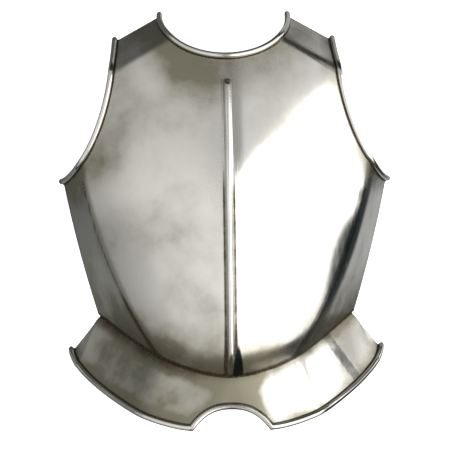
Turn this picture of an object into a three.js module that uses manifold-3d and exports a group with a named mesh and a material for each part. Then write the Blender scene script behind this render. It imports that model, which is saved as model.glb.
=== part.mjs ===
// A steel breastplate, the front half of a cuirass, lying on its rear rim.
// Millimetres. +Z points out of the chest, +Y from the waist to the neck, +X to the right, and
// left and right are as seen from the front.
import * as THREE from "three";
import { mergeVertices } from "three/addons/utils/BufferGeometryUtils.js";
import Module from "manifold-3d";

const wasm = await Module();
wasm.setup();

// Sheet, wires and the edges turned round them
const SHEET = 1.5;
const WIRE_DIAMETER = 3.4;
const WIRE_PLAY = 0.3; // all round a wire, inside its turned edge
const WIRE_RECESS = 0.6; // from a wire's cut end to the rear rim
const ROLL_BITE = 0.3; // how far a turned edge sinks into the back of its sheet

// Chest, seen from the front
const NECK_WIDTH = 158; // between the neck's two tips, to the middle of the turned edge
const NECK_DROP = 57; // from the neck's tips down to its lowest point
const CHEST_HEIGHT = 371; // from the waist corners up to the neck's tips
const SHOULDER_WIDTH = 270; // between the shoulder tips
const SHOULDER_FALL = 31; // from a neck tip down to a shoulder tip
const ARM_DROP = 173; // from a shoulder tip down to the arm opening's rear corner
const ARM_CORNER_WIDTH = 404; // between the rear corners of the arm openings
const WAIST_WIDTH = 321; // between the waist corners
const WAIST_DIP = 61; // how far the waist line dips at the middle
const REAR_BOW = 2.5; // outward bow of the straight rear edges

// Chest, seen from the side
const CHEST_DEPTH = 169; // from the rear rim to the fullest point beside the rib
const SHOULDER_BAND = 38; // height of the bent-back band on each shoulder
const BEND = 9; // softness of the side and shoulder creases
const WAIST_TUCK = 18; // how far the sheet draws in at the waist
const TUCK_HEIGHT = 34; // above the waist line

// Middle rib, pressed out of the chest plate
const RIB_WIDTH = 18; // across its foot
const RIB_CREST = 7; // across its flat top
const RIB_HEIGHT = 5;
const RIB_LENGTH = 334;
const RIB_TOP_BELOW_NECK = 28; // from the neck edge to the rib's blunt top

// Skirt
const SKIRT_WIDTH = 387; // between the rear corners of its turned edge
const SKIRT_FALL = 46; // from a waist corner down to a skirt corner
const POINT_SPREAD = 92; // between the two points
const POINT_FALL = 72; // from a skirt corner down to a point
const ARCH_RISE = 23.5; // from the points up to the top of the arch
const FORWARD_FLARE = 0.33; // how far the skirt comes forward for each millimetre down
const LAP = 10; // how far the skirt reaches up behind the chest plate
const LAP_GAP = 0.35; // between the two sheets
const EDGE_GAP = 0.6; // between the chest plate's lower edge and the bend of the skirt

// Sections of the chest from the waist's dip (height 0) to the neck's tips (height 1).
// depth and fall are shares of CHEST_DEPTH: the middle line's height, and how far the front
// has fallen at the shoulders' half width. crease is a share of the section's half width.
const SECTIONS = [
  { height: 0, depth: 0.97, fall: 0.52, crease: 0.51 },
  { height: 0.11, depth: 0.995, fall: 0.5, crease: 0.65 },
  { height: 0.21, depth: 1, fall: 0.467, crease: 0.743 },
  { height: 0.345, depth: 0.965, fall: 0.41, crease: 0.82 },
  { height: 0.475, depth: 0.908, fall: 0.323, crease: 0.852 },
  { height: 0.61, depth: 0.817, fall: 0.3, crease: 0.865 },
  { height: 0.745, depth: 0.695, fall: 0.268, crease: 0.87 },
  { height: 0.87, depth: 0.562, fall: 0.24, crease: 0.87 },
  { height: 1, depth: 0.42, fall: 0.245, crease: 0.87 },
];

// Exponents of the curves that shape the sheet and its edges
const FRONT_CURVE = 1.8;
const WAIST_CURVE = 1.7;
const ARM_CURVE = { down: 2.1, out: 1.5 };
const SKIRT_CURVE = { across: 1.5, down: 1.55 };
const ARCH_CURVE = 2.5;

// Mesh fineness, and how far the blocks reach past the finished part
const ROLL_SIDES = 8;
const WIRE_SIDES = 6;
const STEP_LENGTH = 14; // along a turned edge
const MARGIN = 6;
const BASE_DEPTH = 40;
const REACH = 1000;

// Places worked out from the sizes
const NECK_HALF = NECK_WIDTH / 2;
const SHOULDER_HALF = SHOULDER_WIDTH / 2;
const ARM_HALF = ARM_CORNER_WIDTH / 2;
const WAIST_HALF = WAIST_WIDTH / 2;
const SKIRT_HALF = SKIRT_WIDTH / 2;
const POINT_HALF = POINT_SPREAD / 2;
const NECK_TIP_Y = CHEST_HEIGHT;
const SHOULDER_TIP_Y = NECK_TIP_Y - SHOULDER_FALL;
const ARM_CORNER_Y = SHOULDER_TIP_Y - ARM_DROP;
const SKIRT_CORNER_Y = -SKIRT_FALL;
const POINT_Y = SKIRT_CORNER_Y - POINT_FALL;
const RIB_TOP_Y = NECK_TIP_Y - NECK_DROP - RIB_TOP_BELOW_NECK;
const RIB_END_Y = RIB_TOP_Y - RIB_LENGTH;
const BORE_RADIUS = WIRE_DIAMETER / 2 + WIRE_PLAY;
const ROLL_RADIUS = BORE_RADIUS + SHEET;
const LAP_STEP = SHEET + LAP_GAP;

// Height of the waist line, and of the shoulders' top edge, at a distance from the middle
function waistY(x) {
  return -WAIST_DIP * (1 - Math.pow(Math.abs(x) / WAIST_HALF, WAIST_CURVE));
}

function topY(x) {
  const slope = SHOULDER_FALL / (SHOULDER_HALF - NECK_HALF);
  return NECK_TIP_Y - slope * (Math.abs(x) - NECK_HALF);
}

// One column of SECTIONS at a height y, as a smooth curve through its rows
function sectionAt(y, column) {
  const at = (y + WAIST_DIP) / (NECK_TIP_Y + WAIST_DIP);
  const share = THREE.MathUtils.clamp(at, 0, 1);
  const last = SECTIONS.length - 1;
  let low = 0;
  while (low < last - 1 && SECTIONS[low + 1].height < share) low++;
  const value = (i) => SECTIONS[THREE.MathUtils.clamp(i, 0, last)][column];
  const height = (i) => SECTIONS[THREE.MathUtils.clamp(i, 0, last)].height;
  const slope = (i) => (value(i + 1) - value(i - 1)) / (height(i + 1) - height(i - 1));
  const span = height(low + 1) - height(low);
  const t = (share - height(low)) / span;
  const ease = t * t * (3 - 2 * t);
  const lift = t * (1 - t) * span;
  const curved = lift * (slope(low) * (1 - t) - slope(low + 1) * t);
  return value(low) * (1 - ease) + value(low + 1) * ease + curved;
}

// Half width of the chest at the rear rim, and of its side crease. Above the rear corners of
// the arm openings both keep their last width.
function rearHalf(y) {
  const t = Math.min(y / ARM_CORNER_Y, 1);
  return WAIST_HALF + (ARM_HALF - WAIST_HALF) * t + REAR_BOW * 4 * t * (1 - t);
}

function creaseHalf(y) {
  return rearHalf(y) * sectionAt(Math.min(y, ARM_CORNER_Y), "crease");
}

// The lesser of two heights, rounded where they meet
function softMin(a, b) {
  const near = Math.max(BEND - Math.abs(a - b), 0) / BEND;
  return Math.min(a, b) - (near * near * BEND) / 4;
}

function frontHeight(x, y) {
  const fall = sectionAt(y, "fall") * Math.pow(Math.abs(x) / SHOULDER_HALF, FRONT_CURVE);
  return CHEST_DEPTH * (sectionAt(y, "depth") - fall);
}

function sideHeight(x, y) {
  const crease = creaseHalf(y);
  const rear = rearHalf(y);
  const height = frontHeight(crease, Math.min(y, ARM_CORNER_Y));
  return (height * (rear - Math.abs(x))) / (rear - crease);
}

function shoulderHeight(x, y) {
  const top = topY(x);
  return (frontHeight(x, top - SHOULDER_BAND) * (top - y)) / SHOULDER_BAND;
}

// How far the sheet is drawn in just above the waist line, fading out at the rear rim
function tuck(x, y) {
  const above = Math.max(1 - (y - waistY(x)) / TUCK_HEIGHT, 0);
  const inside = Math.max(1 - Math.pow(Math.abs(x) / rearHalf(y), 6), 0);
  return WAIST_TUCK * above * above * inside;
}

function ribHeight(x, y) {
  const side = (RIB_WIDTH / 2 - Math.abs(x)) / (RIB_WIDTH / 2 - RIB_CREST / 2);
  const top = (RIB_TOP_Y - y) / (RIB_CREST / 2);
  const end = (y - RIB_END_Y) / RIB_WIDTH;
  return RIB_HEIGHT * THREE.MathUtils.smoothstep(Math.min(side, top, end), 0, 1);
}

// Outer face of the chest plate, without and with its rib
function chestForm(x, y) {
  const bent = softMin(frontHeight(x, y), sideHeight(x, y));
  return softMin(bent, shoulderHeight(x, y)) - tuck(x, y);
}

function chestHeight(x, y) {
  return chestForm(x, y) + ribHeight(x, y);
}

// Length of the upward normal (-dz/dx, -dz/dy, 1) of a surface z = height(x, y)
function normalAt(height, x, y) {
  const step = 0.5;
  const dx = (height(x + step, y) - height(x - step, y)) / (2 * step);
  const dy = (height(x, y + step) - height(x, y - step)) / (2 * step);
  return new THREE.Vector3(-dx, -dy, 1);
}

// The same surface moved back by a thickness, measured square to it
function behind(height, distance) {
  return (x, y) => height(x, y) - distance * normalAt(height, x, y).length();
}

// Outer face of the skirt: it lies behind the chest plate above the waist line, and flares below
const lapHeight = behind(chestForm, LAP_STEP);

function skirtWith(sideFlare) {
  return (x, y) => {
    const down = waistY(x) - y;
    if (down <= 0) return lapHeight(x, y);
    const inward = Math.abs(x) - sideFlare * down;
    const soft = MARGIN * Math.min(down / LAP, 1);
    const from = (inward + Math.hypot(inward, soft)) / 2;
    return lapHeight(from, waistY(from)) + FORWARD_FLARE * down;
  };
}

// The sideways flare that brings the skirt's corner down to the rear rim
function cornerFlare() {
  let low = 0;
  let high = 1;
  for (let i = 0; i < 40; i++) {
    const middle = (low + high) / 2;
    if (skirtWith(middle)(SKIRT_HALF, SKIRT_CORNER_Y) < 0) low = middle;
    else high = middle;
  }
  return high;
}

const SIDE_FLARE = cornerFlare();
const skirtHeight = skirtWith(SIDE_FLARE);

// A closed geometry as a solid, and a solid as a geometry
function solidOf(geometry) {
  const bare = new THREE.BufferGeometry();
  bare.setAttribute("position", geometry.getAttribute("position").clone());
  bare.setIndex(geometry.index);
  const merged = mergeVertices(bare);
  const vertProperties = new Float32Array(merged.getAttribute("position").array);
  const triVerts = new Uint32Array(merged.index.array);
  return new wasm.Manifold(new wasm.Mesh({ numProp: 3, vertProperties, triVerts }));
}

function geometryOf(solid) {
  const mesh = solid.getMesh();
  const geometry = new THREE.BufferGeometry();
  geometry.setAttribute("position", new THREE.BufferAttribute(mesh.vertProperties, 3));
  geometry.setIndex(new THREE.BufferAttribute(mesh.triVerts, 1));
  geometry.computeVertexNormals();
  return geometry;
}

// A block whose top is the surface z = height(x, y), over columns across and rows up the plate
function blockUnder(height, columns, rows) {
  const across = columns.length - 1;
  const up = rows.length - 1;
  const block = new THREE.BoxGeometry(1, 1, 1, across, up, 1);
  const corner = block.getAttribute("position");
  for (let i = 0; i < corner.count; i++) {
    const column = columns[Math.round((corner.getX(i) + 0.5) * across)];
    const row = rows[Math.round((corner.getY(i) + 0.5) * up)];
    const [x, y] = gridPoint(column, row);
    const z = corner.getZ(i) > 0 ? Math.max(height(x, y), -BASE_DEPTH / 2) : -BASE_DEPTH;
    corner.setXYZ(i, x, y, z);
  }
  return solidOf(block);
}

// Columns run from 0 on the middle line, over RIB_SHARE at the rib's foot and 1 on the side
// crease or just outside the arm opening, to 2 just past the rear rim. Rows run from 0 on the
// waist line, over 1 on the shoulder crease, to 2 on the shoulders' top edge, and below 0 they
// count millimetres down from the waist line.
const RIB_SHARE = 0.1;
const INNER_COLUMNS = [0.04, RIB_SHARE, 0.28, 0.46, 0.64, 0.82, 0.95, 1];
const OUTER_COLUMNS = [1.12, 1.35, 1.6, 1.82, 2];
const HALF_COLUMNS = [...INNER_COLUMNS, ...OUTER_COLUMNS];
const COLUMNS = [...HALF_COLUMNS.map((share) => -share).reverse(), 0, ...HALF_COLUMNS];
const MIDDLE_HEIGHT = topY(0) - SHOULDER_BAND - waistY(0);
const LAP_ROW = LAP / MIDDLE_HEIGHT;
const RIB_ROWS = [RIB_CREST / 2, 0].map((back) => (RIB_TOP_Y - back - waistY(0)) / MIDDLE_HEIGHT);
const LOW_ROWS = [-MARGIN, 0, LAP_ROW, 2 * LAP_ROW, 0.08, 0.12, 0.18, 0.25, 0.32, 0.39];
const HIGH_ROWS = [0.46, 0.53, 0.6, 0.67, 0.74, ...RIB_ROWS, 0.86, 0.92, 0.97, 1];
const CHEST_ROWS = [...LOW_ROWS, ...HIGH_ROWS, 1.16, 1.5, 2, 2.2];
const SKIRT_ROWS = [1.1, 0.8, 0.6, 0.4, 0.2, 0.06].map((share) => -share * skirtLength());

// The greatest distance straight down from the waist line to the skirt's turned edge
function skirtLength() {
  const down = (t) => waistY(skirtEdge(t)[0]) - skirtEdge(t)[1];
  return Math.max(...[0.1, 0.2, 0.3, 0.4, 0.5, 0.7, 1].map(down));
}

// Half width of the chest at a height, as the arm openings leave it
function armHalf(y) {
  const down = THREE.MathUtils.clamp((SHOULDER_TIP_Y - y) / ARM_DROP, 0, 1);
  const out = 1 - Math.pow(1 - Math.pow(down, ARM_CURVE.down), 1 / ARM_CURVE.out);
  return SHOULDER_HALF + (ARM_HALF - SHOULDER_HALF) * out;
}

function gridPoint(column, row) {
  const share = Math.abs(column);
  const down = Math.max(-row, 0);
  let x = 0;
  let y = 0;
  for (let pass = 0; pass < 8; pass++) {
    const waist = waistY(x);
    const crease = topY(x) - SHOULDER_BAND;
    if (row <= 0) y = waist - down;
    else y = row < 1 ? waist + row * (crease - waist) : crease + (row - 1) * SHOULDER_BAND;
    const edge = Math.min(creaseHalf(y + down), armHalf(y) + 2 * MARGIN) + SIDE_FLARE * down;
    const rim = rearHalf(y + down) + MARGIN + SIDE_FLARE * down;
    const foot = (RIB_WIDTH / 2) * Math.min(share / RIB_SHARE, 1);
    const beyond = Math.max(share - RIB_SHARE, 0) / (1 - RIB_SHARE);
    const inner = foot + (edge - RIB_WIDTH / 2) * beyond;
    x = share <= 1 ? inner : edge + (rim - edge) * (share - 1);
  }
  return [Math.sign(column) * x, y];
}

// The sheet under a surface, cut to an outline seen from the front
function sheet(height, rows, outline) {
  const front = blockUnder(height, COLUMNS, rows);
  const back = blockUnder(behind(height, SHEET), COLUMNS, rows);
  const prism = new THREE.ExtrudeGeometry(new THREE.Shape(outline), {
    depth: REACH,
    bevelEnabled: false,
  });
  prism.translate(0, 0, -BASE_DEPTH / 4);
  return front.subtract(back).intersect(solidOf(prism));
}

// Everything in front of a plane square to Z
function inFrontOf(z) {
  const half = new THREE.BoxGeometry(REACH, REACH * 2, REACH);
  half.translate(0, 0, z + REACH / 2);
  return solidOf(half);
}

// Turned edges, seen from the front, as places along each edge. Each runs a little past its
// ends, behind the rear rim, where it is cut off.
function quarter(share, power) {
  return Math.pow(Math.max(share, 0), power);
}

function neckEdge(t) {
  const turn = THREE.MathUtils.clamp(t, -1, 1) * (Math.PI / 2);
  const past = Math.max(Math.abs(t) - 1, 0) * NECK_DROP * (Math.PI / 2);
  return [NECK_HALF * Math.sin(turn), NECK_TIP_Y - NECK_DROP * Math.cos(turn) + past];
}

function armEdge(t) {
  const turn = THREE.MathUtils.clamp(t, 0, 1) * (Math.PI / 2);
  const down = quarter(Math.sin(turn), 2 / ARM_CURVE.down);
  const out = 1 - quarter(Math.cos(turn), 2 / ARM_CURVE.out);
  const above = Math.max(-t, 0) * ARM_DROP;
  const outside = Math.max(t - 1, 0) * ARM_DROP;
  const x = SHOULDER_HALF + (ARM_HALF - SHOULDER_HALF) * out + outside;
  return [x, SHOULDER_TIP_Y - ARM_DROP * down + above];
}

function skirtEdge(t) {
  const turn = THREE.MathUtils.clamp(t, 0, 1) * (Math.PI / 2);
  const across = 1 - quarter(Math.cos(turn), 2 / SKIRT_CURVE.across);
  const down = quarter(Math.sin(turn), 2 / SKIRT_CURVE.down);
  const above = Math.max(-t, 0) * POINT_FALL;
  const inside = Math.max(t - 1, 0) * POINT_HALF;
  const x = SKIRT_HALF + (POINT_HALF - SKIRT_HALF) * across - inside;
  return [x, SKIRT_CORNER_Y - POINT_FALL * down + above];
}

function archEdge(t) {
  return [POINT_HALF * t, POINT_Y + ARCH_RISE * (1 - Math.pow(Math.abs(t), ARCH_CURVE))];
}

// The middle of a turned edge: a curve that keeps its distance from the sheet's surface
class TurnedEdge extends THREE.Curve {
  constructor(edge, from, to, height, mirrored = false) {
    super();
    Object.assign(this, { edge, from, to, height, mirrored });
  }

  getPoint(share) {
    const [x, y] = this.edge(this.from + (this.to - this.from) * share);
    const normal = normalAt(this.height, x, y).normalize();
    const place = new THREE.Vector3(x, y, this.height(x, y));
    place.addScaledVector(normal, ROLL_RADIUS - SHEET - ROLL_BITE);
    if (this.mirrored) place.x = -place.x;
    return place;
  }
}

const OVERRUN = 0.06; // share of an edge that is cut off past each of its ends
const CHEST_EDGES = {
  neck: new TurnedEdge(neckEdge, -1 - OVERRUN, 1 + OVERRUN, chestForm),
  armLeft: new TurnedEdge(armEdge, -OVERRUN, 1 + OVERRUN, chestForm, true),
  armRight: new TurnedEdge(armEdge, -OVERRUN, 1 + OVERRUN, chestForm),
};

// The skirt's three edges run past each point as far as a mitred rod of their radius needs
function skirtEdges(radius) {
  const turn = Math.atan((ARCH_RISE * ARCH_CURVE) / POINT_HALF);
  const mitre = (radius * Math.tan(turn / 2)) / POINT_HALF;
  return {
    left: new TurnedEdge(skirtEdge, -2 * OVERRUN, 1 + mitre, skirtHeight, true),
    arch: new TurnedEdge(archEdge, -1 - mitre, 1 + mitre, skirtHeight),
    right: new TurnedEdge(skirtEdge, -2 * OVERRUN, 1 + mitre, skirtHeight),
  };
}

function rodAlong(curve, radius, sides) {
  const corner = (i) => {
    const turn = (2 * Math.PI * (i + 0.5)) / sides;
    return new THREE.Vector2(radius * Math.cos(turn), radius * Math.sin(turn));
  };
  const section = new THREE.Shape(Array.from({ length: sides }, (_, i) => corner(i)));
  const steps = Math.ceil(curve.getLength() / STEP_LENGTH);
  return solidOf(new THREE.ExtrudeGeometry(section, { steps, extrudePath: curve }));
}

// A sheet with its edges turned round a bore for each wire. The edges are given for a radius.
function withTurnedEdges(plate, edgesFor) {
  let turned = plate;
  for (const edge of Object.values(edgesFor(ROLL_RADIUS))) {
    turned = turned.add(rodAlong(edge, ROLL_RADIUS, ROLL_SIDES));
  }
  for (const edge of Object.values(edgesFor(BORE_RADIUS))) {
    turned = turned.subtract(rodAlong(edge, BORE_RADIUS, WIRE_SIDES));
  }
  return turned.intersect(inFrontOf(0));
}

function wireIn(edges) {
  const rods = Object.values(edges).map((edge) => rodAlong(edge, WIRE_DIAMETER / 2, WIRE_SIDES));
  const wire = rods.reduce((joined, rod) => joined.add(rod));
  return wire.intersect(inFrontOf(WIRE_RECESS));
}

// Points of an outline, from one place along an edge to another, on the left or the right
function stretch(edge, from, to, count, side = 1) {
  return Array.from({ length: count + 1 }, (_, i) => {
    const [x, y] = edge(from + ((to - from) * i) / count);
    return new THREE.Vector2(side * x, y);
  });
}

function waistStretch(rise, half, count) {
  const at = (i) => half * ((2 * i) / count - 1);
  return Array.from({ length: count + 1 }, (_, i) => new THREE.Vector2(at(i), waistY(at(i)) + rise));
}

function chestOutline() {
  const out = ARM_HALF + 2 * MARGIN;
  return [
    ...waistStretch(EDGE_GAP, WAIST_HALF + MARGIN, 28),
    new THREE.Vector2(out, 0),
    ...stretch(armEdge, 1 + OVERRUN, -OVERRUN, 18),
    ...stretch(neckEdge, 1 + OVERRUN, -1 - OVERRUN, 24),
    ...stretch(armEdge, -OVERRUN, 1 + OVERRUN, 18, -1),
    new THREE.Vector2(-out, 0),
  ];
}

function skirtOutline() {
  return [
    ...waistStretch(LAP, WAIST_HALF + MARGIN, 28).reverse(),
    ...stretch(skirtEdge, -2 * OVERRUN, 1, 20, -1),
    ...stretch(archEdge, -1, 1, 12).slice(1, -1),
    ...stretch(skirtEdge, 1, -2 * OVERRUN, 20),
  ];
}

// Finishes
const POLISHED_STEEL = { color: 0xa7a49c, metalness: 1, roughness: 0.28 };
const WIRE_STEEL = { color: 0x6f6a62, metalness: 1, roughness: 0.5 };

function named(name, solid, finish) {
  const mesh = new THREE.Mesh(geometryOf(solid), new THREE.MeshStandardMaterial(finish));
  mesh.name = name;
  return mesh;
}

const chestSheet = sheet(chestHeight, CHEST_ROWS, chestOutline());
const skirtSheet = sheet(skirtHeight, [...SKIRT_ROWS, 0, LAP_ROW, 2 * LAP_ROW], skirtOutline());

const pieces = new THREE.Group();
pieces.add(
  named("chest_plate", withTurnedEdges(chestSheet, () => CHEST_EDGES), POLISHED_STEEL),
  named("skirt_plate", withTurnedEdges(skirtSheet, skirtEdges), POLISHED_STEEL),
  named("neck_wire", wireIn([CHEST_EDGES.neck]), WIRE_STEEL),
  named("arm_wire_left", wireIn([CHEST_EDGES.armLeft]), WIRE_STEEL),
  named("arm_wire_right", wireIn([CHEST_EDGES.armRight]), WIRE_STEEL),
  named("skirt_wire", wireIn(skirtEdges(BORE_RADIUS)), WIRE_STEEL),
);

// The origin is under the middle of the part, on the surface that it lies on
const box = new THREE.Box3().setFromObject(pieces);
pieces.position.y = -(box.min.y + box.max.y) / 2;

const group = new THREE.Group();
group.add(pieces);

export default group;
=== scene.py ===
"""A polished steel breastplate lying on its rear rim, seen from straight above."""

import logging
import math
from collections.abc import Callable
from dataclasses import dataclass
from enum import Enum

import bpy
import numpy as np
from mathutils import Matrix, Vector


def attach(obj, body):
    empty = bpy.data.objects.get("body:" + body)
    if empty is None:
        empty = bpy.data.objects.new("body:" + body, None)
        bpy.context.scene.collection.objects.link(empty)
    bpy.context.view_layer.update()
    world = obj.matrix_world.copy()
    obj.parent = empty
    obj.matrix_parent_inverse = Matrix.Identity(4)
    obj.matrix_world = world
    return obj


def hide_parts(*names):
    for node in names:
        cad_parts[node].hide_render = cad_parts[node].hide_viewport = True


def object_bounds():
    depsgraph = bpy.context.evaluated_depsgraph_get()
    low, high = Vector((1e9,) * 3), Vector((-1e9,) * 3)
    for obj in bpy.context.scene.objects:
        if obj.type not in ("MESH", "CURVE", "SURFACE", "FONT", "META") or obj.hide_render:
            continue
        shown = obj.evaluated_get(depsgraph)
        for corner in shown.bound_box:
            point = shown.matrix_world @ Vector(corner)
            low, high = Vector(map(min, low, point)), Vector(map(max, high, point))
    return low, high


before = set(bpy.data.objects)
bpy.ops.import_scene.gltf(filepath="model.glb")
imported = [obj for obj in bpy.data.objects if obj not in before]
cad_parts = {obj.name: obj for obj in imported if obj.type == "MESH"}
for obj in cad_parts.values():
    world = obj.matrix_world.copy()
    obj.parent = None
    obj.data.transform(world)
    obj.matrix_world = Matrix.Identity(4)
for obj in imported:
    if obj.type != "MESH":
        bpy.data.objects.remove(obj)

CAD_BOX = [list(corner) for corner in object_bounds()]
LOG = logging.getLogger("breastplate")
Array = np.ndarray
Height = Callable[[Array, Array], Array]
Colour = tuple[float, float, float, float]
Triple = tuple[float, float, float]
Socket = bpy.types.NodeSocket
Sockets = bpy.types.NodeOutputs
Feed = Socket | float | tuple


HALVINGS = 40
SLOPE_STEP = 0.0005
RIM_CLEARANCE = 0.0002
EDGE_POINTS = 60
SIDE_PULL = 3


class Slot(Enum):
    """The part's two finish names; nothing in the script uses them."""

    POLISHED = "polished_steel"
    WIRE = "dark_wire"


@dataclass(frozen=True)
class Section:
    """One level of the chest: its place up the plate, and shares of the named sizes there."""

    height: float
    depth: float
    fall: float
    crease: float


@dataclass(frozen=True)
class ChestForm:
    """The outer face of the chest plate as a height over the plane that its rim lies on.

    All sizes are metres. x runs from the middle line, y from the waist corners.
    """

    neck_half: float = 0.079
    neck_drop: float = 0.057
    height: float = 0.371
    shoulder_half: float = 0.135
    shoulder_fall: float = 0.031
    arm_drop: float = 0.173
    arm_half: float = 0.202
    waist_half: float = 0.1605
    waist_dip: float = 0.061
    rear_bow: float = 0.0025
    depth: float = 0.169
    band: float = 0.038
    bend: float = 0.009
    tuck_depth: float = 0.018
    tuck_height: float = 0.034
    tuck_spread: int = 6
    front_curve: float = 1.8
    waist_curve: float = 1.7
    arm_down: float = 2.1
    arm_out: float = 1.5
    lap_step: float = 0.00185
    rib_half: float = 0.009
    rib_crest: float = 0.0047
    rib_fillet: float = 0.09
    rib_round: float = 2.6
    rib_height: float = 0.005
    rib_blunt: float = 0.0055
    rib_fade: float = 0.018
    rib_top: float = 0.286
    rib_end: float = -0.048
    height_over_all: float = 0.37737
    sections: tuple[Section, ...] = (
        Section(0.0, 0.97, 0.52, 0.51),
        Section(0.11, 0.995, 0.5, 0.65),
        Section(0.21, 1.0, 0.467, 0.743),
        Section(0.345, 0.965, 0.41, 0.82),
        Section(0.475, 0.908, 0.323, 0.852),
        Section(0.61, 0.817, 0.3, 0.865),
        Section(0.745, 0.695, 0.268, 0.87),
        Section(0.87, 0.562, 0.24, 0.87),
        Section(1.0, 0.42, 0.245, 0.87),
    )

    @property
    def shoulder_tip_y(self) -> float:
        """Height of a shoulder's outer tip."""
        return self.height - self.shoulder_fall

    @property
    def arm_corner_y(self) -> float:
        """Height of an arm opening's rear corner."""
        return self.shoulder_tip_y - self.arm_drop

    def waist_y(self, x: Array) -> Array:
        """Height of the waist line at a distance from the middle."""
        share = np.abs(x) / self.waist_half
        return -self.waist_dip * (1 - share**self.waist_curve)

    def top_y(self, x: Array) -> Array:
        """Height of the shoulders' top edge at a distance from the middle."""
        slope = self.shoulder_fall / (self.shoulder_half - self.neck_half)
        return self.height - slope * (np.abs(x) - self.neck_half)

    def section(self, y: Array, column: str) -> Array:
        """A smooth curve through one column of the sections.

        Args:
            y: Heights above the waist corners.
            column: Name of the column.

        Returns:
            The column's value at each height.
        """
        heights = np.array([row.height for row in self.sections])
        values = np.array([getattr(row, column) for row in self.sections])
        ahead = np.append(values[1:], values[-1]) - np.insert(values[:-1], 0, values[0])
        spans = np.append(heights[1:], heights[-1]) - np.insert(heights[:-1], 0, heights[0])
        slopes = ahead / spans
        share = (np.asarray(y) + self.waist_dip) / (self.height + self.waist_dip)
        share = np.clip(share, 0, 1)
        low = np.clip(np.searchsorted(heights, share, side="right") - 1, 0, len(heights) - 2)
        span = heights[low + 1] - heights[low]
        t = (share - heights[low]) / span
        ease = t * t * (3 - 2 * t)
        lift = t * (1 - t) * span
        curved = lift * (slopes[low] * (1 - t) - slopes[low + 1] * t)
        return values[low] * (1 - ease) + values[low + 1] * ease + curved

    def rear_half(self, y: Array) -> Array:
        """Half width at the rear rim."""
        t = np.minimum(np.asarray(y) / self.arm_corner_y, 1)
        return self.waist_half + (self.arm_half - self.waist_half) * t + self.rear_bow * 4 * t * (1 - t)

    def crease_half(self, y: Array) -> Array:
        """Half width at the side crease."""
        return self.rear_half(y) * self.section(np.minimum(y, self.arm_corner_y), "crease")

    def soft_min(self, a: Array, b: Array) -> Array:
        """The lesser of two heights, rounded where they meet."""
        near = np.maximum(self.bend - np.abs(a - b), 0) / self.bend
        return np.minimum(a, b) - near * near * self.bend / 4

    def front(self, x: Array, y: Array) -> Array:
        """Height of the front panel."""
        fall = self.section(y, "fall") * (np.abs(x) / self.shoulder_half) ** self.front_curve
        return self.depth * (self.section(y, "depth") - fall)

    def side(self, x: Array, y: Array) -> Array:
        """Height of the side panels.

        Args:
            x: Distances from the middle line.
            y: Heights above the waist corners.

        Returns:
            A straight fall from the crease to the rear rim.
        """
        crease, rear = self.crease_half(y), self.rear_half(y)
        height = self.front(crease, np.minimum(y, self.arm_corner_y))
        return height * (rear - np.abs(x)) / (rear - crease)

    def shoulder(self, x: Array, y: Array) -> Array:
        """Height of the shoulder bands."""
        top = self.top_y(x)
        return self.front(x, top - self.band) * (top - y) / self.band

    def tuck(self, x: Array, y: Array) -> Array:
        """How far the sheet is drawn in above the waist line.

        Args:
            x: Distances from the middle line.
            y: Heights above the waist corners.

        Returns:
            The depth drawn in, which fades upward and towards the rear rim.
        """
        above = np.maximum(1 - (y - self.waist_y(x)) / self.tuck_height, 0)
        inside = np.maximum(1 - (np.abs(x) / self.rear_half(y)) ** self.tuck_spread, 0)
        return self.tuck_depth * above * above * inside

    def form(self, x: Array, y: Array) -> Array:
        """Height of the outer face without its rib."""
        bent = self.soft_min(self.front(x, y), self.side(x, y))
        return self.soft_min(bent, self.shoulder(x, y)) - self.tuck(x, y)

    def rib(self, x: Array, y: Array) -> Array:
        """Height of the raised middle rib over the form.

        Args:
            x: Distances from the middle line.
            y: Heights above the waist corners.

        Returns:
            The rib's height: a rounded crest, hollow feet and a blunt upper end.
        """
        bead = 1 - (np.abs(x) / self.rib_crest) ** self.rib_round
        crest = (bead + np.hypot(bead, self.rib_fillet)) / 2
        crest = crest * smooth(2 * (1 - np.abs(x) / self.rib_half))
        top = smooth((self.rib_top - y) / self.rib_blunt)
        end = smooth((y - self.rib_end) / self.rib_fade)
        return self.rib_height * crest * top * end

    def height_at(self, x: Array, y: Array) -> Array:
        """Height of the whole outer face, rib included."""
        return self.form(x, y) + self.rib(x, y)

    def lap_height(self, x: Array, y: Array) -> Array:
        """Height of the outer face of a sheet that lies behind the chest plate."""
        slope = slopes(self.form, x, y)
        return self.form(x, y) - self.lap_step * np.sqrt(1 + slope[0] ** 2 + slope[1] ** 2)

    def neck_edge(self, count: int) -> Array:
        """Plan points round the neck, from the left tip to the right one."""
        turn = np.linspace(-1, 1, count) * math.pi / 2
        return np.stack([self.neck_half * np.sin(turn), self.height - self.neck_drop * np.cos(turn)], -1)

    def arm_edge(self, count: int) -> Array:
        """Plan points round the right arm opening.

        Args:
            count: Number of points.

        Returns:
            The points, from the shoulder tip to the rear corner.
        """
        turn = np.linspace(0, 1, count) * math.pi / 2
        out = 1 - np.maximum(np.cos(turn), 0) ** (2 / self.arm_out)
        x = self.shoulder_half + (self.arm_half - self.shoulder_half) * out
        y = self.shoulder_tip_y - self.arm_drop * np.sin(turn) ** (2 / self.arm_down)
        return np.stack([x, y], -1)


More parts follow.
